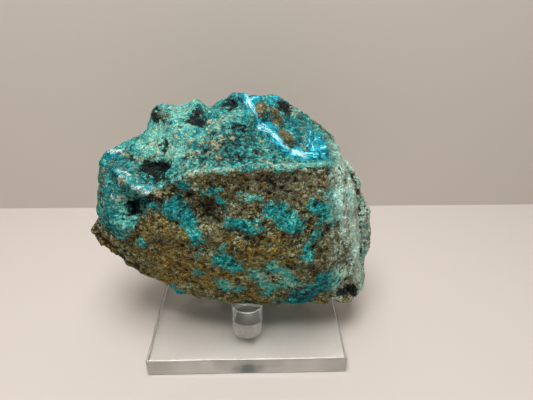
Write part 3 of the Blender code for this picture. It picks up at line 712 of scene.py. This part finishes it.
def makeRock():
    look = rockFinish
    material, tree, shader = blankMaterial("chrysocollaRock")
    where = put(tree, "ShaderNodeTexCoord").outputs["Object"]
    mask = {name: put(tree, "ShaderNodeAttribute", attribute_name=name).outputs["Fac"] for name in maskNames}
    gritGroup = makeGrit()

    def grit(size, vector):
        return put(tree, "ShaderNodeGroup", {"Vector": vector, "Size mm": size}, node_tree=gritGroup).outputs

    def cloud(size, detail=3.0, rough=0.6, vector=where):  # soft noise, its size in millimetres
        inputs = {"Vector": vector, "Scale": 1 / (size * mm), "Detail": detail, "Roughness": rough}
        return put(tree, "ShaderNodeTexNoise", inputs).outputs["Fac"]

    def times(first, second):
        return sums(tree, "MULTIPLY", first, second)

    def plus(start, *parts):  # a start value and a share of each part
        for value, share in parts:
            start = sums(tree, "MULTIPLY_ADD", value, share, start)
        return start

    def less(value):  # what is left of 1
        return sums(tree, "SUBTRACT", 1.0, value)

    def offHalf(value):
        return sums(tree, "SUBTRACT", value, 0.5)

    def step(value, low, high):
        return between(tree, value, low, high)

    def paint(name):
        return tint(*look[name])

    def lay(colour, share, name):  # one of the layers over a colour
        top, most = look["layers"][name]
        return mixColour(tree, times(share, most), colour, tint(*top))

    def shaded(colour, share, name):
        tone, most = look["shades"][name]
        return mixColour(tree, times(share, most), colour, tone + (1,), "MULTIPLY")

    # grains and noises that the layers share
    warp = put(tree, "ShaderNodeTexNoise", {"Vector": where, "Detail": 2.0,
                                              "Scale": 1 / (look["warpSize"] * mm)})
    push = put(tree, "ShaderNodeVectorMath", {0: warp.outputs["Color"], 1: (0.5, 0.5, 0.5)},
               operation="SUBTRACT").outputs[0]
    warped = put(tree, "ShaderNodeVectorMath", {0: push, 1: (look["warp"] * mm * 2,) * 3, 2: where},
                 operation="MULTIPLY_ADD").outputs[0]
    slope = (0, math.radians(look["bedding"]), 0)
    bedded = put(tree, "ShaderNodeMapping", {"Vector": warped, "Rotation": slope, "Scale": (0.62, 1, 1.15)})
    bedded = bedded.outputs[0]
    coarse = grit(look["grain"], bedded)
    fine = grit(look["fineGrain"], bedded)
    gritty = grit(look["crustGrain"], warped)
    medium = cloud(2.4, 4.0, 0.65)
    speckle = plus(offHalf(fine["Tone"]), (offHalf(coarse["Kind"]), 0.35), (offHalf(fine["Kind"]), 0.25))
    tanColour = mixColour(tree, fine["Kind"], paint("peach"), paint("cream"))

    def marked(value, spread=1.0, edge=look["edge"]):  # a soft painted mask with a speckled edge
        return step(plus(value, (speckle, spread)), *edge)

    def threads(size, width):  # thin wandering lines
        line = sums(tree, "ABSOLUTE", offHalf(cloud(size, 4.0, 0.72, bedded)))
        return step(line, width, width * 0.4)

    def matrixColour():  # brown matrix: grains of many kinds, iron stain and dark earth
        big = step(cloud(1.9), 0.44, 0.54)
        kind = put(tree, "ShaderNodeMix", {0: big, 2: fine["Kind"], 3: coarse["Kind"]}).outputs[0]
        colour = ramp(tree, kind, look["matrix"])
        colour = lay(colour, step(plus(medium, (mask["ochre"], 0.22)), 0.54, 0.70), "ochre")
        colour = lay(colour, step(plus(cloud(3.4, 4.0, 0.7), (mask["ochre"], 0.20)), 0.58, 0.68), "gold")
        colour = lay(colour, times(mask["grey"], step(coarse["Tone"], 0.35, 0.6)), "grey")
        colour = lay(colour, step(cloud(1.7, 4.0, 0.75), 0.52, 0.58), "earth")
        colour = lay(colour, step(fine["Tone"], 0.56, 0.64), "paleGrain")
        colour = shaded(colour, step(cloud(6.5, 3.0, 0.6), 0.40, 0.60), "matrixShade")
        return lay(colour, times(threads(2.1, 0.018), step(cloud(7.5, 3.0, 0.6), 0.42, 0.58)), "thread")

    def crustColour():  # pale aqua through teal to blue, with tan and dark grains in it
        bold = less(mask["pale"])
        hearts = times(mask["patch"], offHalf(cloud(1.5, 3.0, 0.7)))
        pools = times(bold, offHalf(cloud(3.2, 4.0, 0.7)))
        depth = plus(look["crustDepth"], (offHalf(medium), 1.1), (offHalf(gritty["Kind"]), 0.60))
        depth = plus(depth, (offHalf(gritty["Tone"]), 0.7), (mask["deep"], 0.26), (mask["pale"], -0.30))
        depth = plus(depth, (mask["gritty"], -0.05), (hearts, 1.7), (pools, 0.9))
        colour = ramp(tree, depth, look["crust"])
        cast = mixColour(tree, step(cloud(3.2, 3.0, 0.6), 0.40, 0.62), paint("greenCast"), paint("blueCast"))
        castShare = times(times(mask["pale"], 0.55), step(gritty["Tone"], 0.40, 0.60))
        colour = mixColour(tree, castShare, colour, cast)
        colour = lay(colour, times(mask["deep"], step(medium, 0.45, 0.6)), "blue")
        clean = plus(1.0, (mask["patch"], -0.8))  # few foreign grains in the patches
        tans = step(plus(coarse["Other"], (mask["gritty"], 0.05), (offHalf(fine["Tone"]), 0.10)), 0.96, 1.0)
        colour = mixColour(tree, times(times(tans, 0.75), clean), colour, tanColour)
        browns = sums(tree, "GREATER_THAN", plus(fine["Other"], (mask["gritty"], 0.14)), 0.94)
        brown = ramp(tree, fine["Kind"], look["clast"])
        colour = mixColour(tree, times(browns, times(clean, 0.75)), colour, brown)
        darks = plus(cloud(1.1, 4.0, 0.72), (mask["gritty"], 0.08), (mask["patch"], 0.03))
        colour = lay(colour, step(plus(darks, (mask["pale"], -0.05)), 0.57, 0.64), "crustEarth")
        return lay(colour, times(threads(1.5, 0.016), bold), "brightThread")

    def streaked(matrix, crust):  # upright pale streaks on the right, over matrix and crust
        upright = put(tree, "ShaderNodeMapping", {"Vector": warped, "Scale": (1.0, 1.0, 0.34)}).outputs[0]
        streaks = plus(cloud(2.4, 5.0, 0.68, upright), (offHalf(fine["Tone"]), 0.45))
        streaks = plus(streaks, (offHalf(gritty["Kind"]), 0.10))
        colour = ramp(tree, plus(streaks, (mask["grey"], 0.09), (mask["pale"], -0.10)), look["streaks"])
        onCrust = times(mask["streak"], step(plus(medium, (mask["pale"], 0.15)), 0.36, 0.50))
        onMatrix = times(mask["streak"], step(plus(streaks, (mask["cover"], -0.22)), 0.52, 0.40))
        matrix = mixColour(tree, times(onMatrix, 0.85), matrix, colour)
        return matrix, mixColour(tree, onCrust, crust, colour)

    def veinBands():  # the vein's strength, drawn out along its run
        flow = put(tree, "ShaderNodeAttribute", attribute_name="veinFlow").outputs["Vector"]
        bent = put(tree, "ShaderNodeVectorMath", {0: push, 1: (1.6, 1.6, 0.0), 2: flow},
                   operation="MULTIPLY_ADD").outputs[0]
        drawn = put(tree, "ShaderNodeMapping", {"Vector": bent, "Scale": (0.15, 1.5, 1.0)}).outputs[0]
        bands = cloud(1 / mm, 3.0, 0.6, drawn)  # the flow is in millimetres already
        swirl = plus(mask["vein"], (offHalf(bands), 1.3), (offHalf(cloud(1.2, 4.0, 0.7)), 0.5))
        return plus(swirl, (offHalf(gritty["Tone"]), 0.4))

    def paintedLightShadeAndSpeck(colour, smoothShare):  # painted highlight on what stands out, painted shade in what lies low and in the grooves between grains, then fine specks of random tone
        white = (1, 1, 1, 1)
        # painted highlight: a white soft light over raised places
        colour = mixColour(tree, times(step(mask["raised"], 0.55, 0.95), 0.35), colour, white, "SOFT_LIGHT")
        # painted shade: darker in crevices, sunken places, hollows and the grooves between grains
        colour = shaded(colour, step(mask["raised"], 0.45, 0.10), "crevice")
        colour = shaded(colour, mask["sunken"], "sunken")
        colour = shaded(colour, mask["hollow"], "hollow")
        plain = plus(0.6, (mask["streak"], -0.4), (mask["pale"], -0.3))
        # painted shade along the grooves between grains
        colour = shaded(colour, times(step(coarse["Middle"], 0.45, 0.75), plain), "grooveShade")
        dim, bright = (0.42, 0.42, 0.42, 1), (1.62, 1.60, 1.56, 1)
        speck = mixColour(tree, step(cloud(0.55, 2.0, 0.8), 0.34, 0.66), dim, bright)
        return mixColour(tree, plus(0.9, (smoothShare, -0.6)), colour, speck, "MULTIPLY")

    matrix, crust = streaked(matrixColour(), crustColour())
    crust = shaded(crust, mask["patch"], "patchTint")
    frayed = plus(mask["cover"], (offHalf(cloud(1.2, 4.0, 0.75)), 0.6), (mask["deep"], 0.12))
    colour = mixColour(tree, marked(frayed), matrix, crust)

    # clasts, pale grains and lines, manganese black and the vein
    lump = marked(plus(mask["clast"], (offHalf(cloud(1.4, 4.0, 0.7)), 0.6)))
    clastKind = plus(times(fine["Tone"], 0.7), (coarse["Kind"], 0.3))
    colour = mixColour(tree, lump, colour, ramp(tree, clastKind, look["clast"]))
    colour = mixColour(tree, times(marked(mask["tan"], 0.9), 0.8), colour, tanColour)
    colour = lay(colour, marked(mask["cream"], 1.3), "creamLine")
    colour = lay(colour, marked(plus(mask["fleck"], (offHalf(cloud(0.9, 3.0, 0.7)), 0.6)), 1.2), "fleck")
    soot = marked(plus(mask["black"], (offHalf(cloud(1.0, 4.0, 0.75)), 0.9)), 0.9, (0.40, 0.48))
    sootTone = step(plus(fine["Tone"], (offHalf(coarse["Kind"]), 0.12)), 0.54, 0.72)
    sootColour = mixColour(tree, sootTone, paint("black"), paint("soot"))
    colour = mixColour(tree, times(soot, 0.95), colour, sootColour)
    swirl = veinBands()
    veinShare = times(step(swirl, 0.28, 0.38), less(lump))
    colour = mixColour(tree, veinShare, colour, ramp(tree, swirl, look["vein"]))
    tree.links.new(paintedLightShadeAndSpeck(colour, veinShare), shader.inputs["Base Color"])

    rough = plus(look["roughness"], (fine["Tone"], 0.25), (veinShare, -0.25), (soot, -0.2))
    tree.links.new(rough, shader.inputs["Roughness"])
    bumps = plus(times(coarse["Middle"], -1.0), (fine["Tone"], 0.9), (fine["Middle"], -0.5))
    bumps = times(bumps, plus(1.0, (veinShare, -0.7)))
    depth = look["bumpDepth"] * mm
    bump = put(tree, "ShaderNodeBump", {"Strength": look["bump"], "Distance": depth, "Height": bumps})
    tree.links.new(bump.outputs["Normal"], shader.inputs["Normal"])
    shader.inputs["Specular IOR Level"].default_value = look["shine"]
    return material


stone.data.materials.append(makeRock())
stone.name = "stone"
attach(stone, "root")
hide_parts("chrysocolla_stone")
print("rock painted")


# ---- the clear stand

acrylicFinish = {
    "tint": (0.985, 0.995, 0.992, 1), "ior": 1.49, "roughness": 0.015, "wear": 0.03, "wearSize": 9,
    "edgeRoughness": 0.3, "pegSides": 96, "rimRound": 0.35, "weldDepth": 0.05,  # lengths in millimetres
}


def makeAcrylic(name, edgeRoughness=0.0):  # upright faces may be rougher, as sawn edges are
    look = acrylicFinish
    material, tree, shader = blankMaterial(name)
    surface = put(tree, "ShaderNodeTexCoord")
    shader.inputs["Base Color"].default_value = look["tint"]
    shader.inputs["IOR"].default_value = look["ior"]
    shader.inputs["Transmission Weight"].default_value = 1.0
    wear = put(tree, "ShaderNodeTexNoise", {"Vector": surface.outputs["Object"], "Detail": 4.0,
                                            "Scale": 1 / (look["wearSize"] * mm)})
    polish = sums(tree, "MULTIPLY_ADD", wear.outputs["Fac"], look["wear"], look["roughness"])
    if edgeRoughness:
        facing = put(tree, "ShaderNodeSeparateXYZ", {"Vector": surface.outputs["Normal"]}).outputs["Z"]
        upright = sums(tree, "LESS_THAN", sums(tree, "ABSOLUTE", facing), 0.5)
        polish = sums(tree, "MULTIPLY_ADD", upright, edgeRoughness, polish)
    tree.links.new(polish, shader.inputs["Roughness"])
    return material


def makePeg(node):  # a polished rod whose foot is welded a little way into the plate
    look = acrylicFinish
    low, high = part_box(node)
    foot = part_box("stand_plate")[1][2] - look["weldDepth"] * mm
    middle = Vector(((low[0] + high[0]) / 2, (low[1] + high[1]) / 2, (foot + high[2]) / 2))
    bm = bmesh.new()
    radius = (high[0] - low[0]) / 2
    bmesh.ops.create_cone(bm, cap_ends=True, segments=look["pegSides"], radius1=radius, radius2=radius,
                          depth=high[2] - foot)
    bmesh.ops.translate(bm, verts=bm.verts, vec=middle)
    rim = [edge for edge in bm.edges if all(vertex.co.z > middle.z for vertex in edge.verts)]
    bmesh.ops.bevel(bm, geom=rim, offset=look["rimRound"] * mm, offset_type="OFFSET", affect="EDGES",
                    segments=3, profile=0.5, material=-1)
    mesh = bpy.data.meshes.new(node)
    bm.to_mesh(mesh)
    bm.free()
    mesh.shade_smooth()
    mesh.set_sharp_from_angle(angle=math.radians(40))
    peg = bpy.data.objects.new(node + "_rod", mesh)
    bpy.context.scene.collection.objects.link(peg)
    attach(peg, "root")
    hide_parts(node)
    return peg


rodAcrylic = makeAcrylic("clearAcrylic")
for name in pegs:
    makePeg(name).data.materials.append(rodAcrylic)
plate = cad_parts["stand_plate"]
plate.data.materials.clear()
plate.data.materials.append(makeAcrylic("sawnAcrylic", acrylicFinish["edgeRoughness"]))
print("stand finished")


# ---- floor, wall and light

room = {
    "floor": (199, 192, 186), "wall": (202, 194, 185),
    "wallAt": 93, "below": 0.2,  # millimetres: the wall's distance, the floor's depth
    "reach": 2, "wallHeight": 1.5,  # metres
    "overheadPower": 4.0, "overheadSize": 0.32, "overheadPlace": (-0.03, -0.14, 0.60),
    "surround": 0.26, "lightColour": (1.0, 0.975, 0.95),
}


def makeSheet(name, corners, colour):
    bm = bmesh.new()
    bm.faces.new([bm.verts.new(corner) for corner in corners])
    mesh = bpy.data.meshes.new(name)
    bm.to_mesh(mesh)
    bm.free()
    sheet = bpy.data.objects.new(name, mesh)
    bpy.context.scene.collection.objects.link(sheet)
    material, tree, shader = blankMaterial(name)
    shader.inputs["Base Color"].default_value = tint(*colour)
    shader.inputs["Roughness"].default_value = 0.6
    # one-sided, so that the object shows from behind too
    fromBack = put(tree, "ShaderNodeNewGeometry").outputs["Backfacing"]
    tree.links.new(sums(tree, "SUBTRACT", 1.0, fromBack), shader.inputs["Alpha"])
    mesh.materials.append(material)


far, back, top = room["reach"], room["wallAt"] * mm, room["wallHeight"]
under = -room["below"] * mm  # a hair lower than the stand, so that light passes between them
ground = [(-far, -far, under), (far, -far, under), (far, far, under), (-far, far, under)]
makeSheet("floor", ground, room["floor"])
upright = [(-far, back, under), (far, back, under), (far, back, top), (-far, back, top)]
makeSheet("wall", upright, room["wall"])

lamp = bpy.data.objects.new("overhead", bpy.data.lights.new("overhead", "AREA"))
bpy.context.scene.collection.objects.link(lamp)
lamp.data.energy = room["overheadPower"]
lamp.data.size = room["overheadSize"]
lamp.data.color = room["lightColour"]
lamp.location = room["overheadPlace"]
lamp.rotation_euler = (-lamp.location).to_track_quat("-Z", "Y").to_euler()

world = bpy.data.worlds.new("surround")
bpy.context.scene.world = world
world.use_nodes = True
world.node_tree.nodes["Background"].inputs["Color"].default_value = room["lightColour"] + (1,)
world.node_tree.nodes["Background"].inputs["Strength"].default_value = room["surround"]
bpy.context.scene.view_settings.view_transform = "Standard"
bpy.context.scene.cycles.glossy_bounces = 12  # light crosses the clear plate in many turns
bpy.context.scene.cycles.max_bounces = 20
bpy.context.scene.cycles.blur_glossy = 0.0
print("room lit")
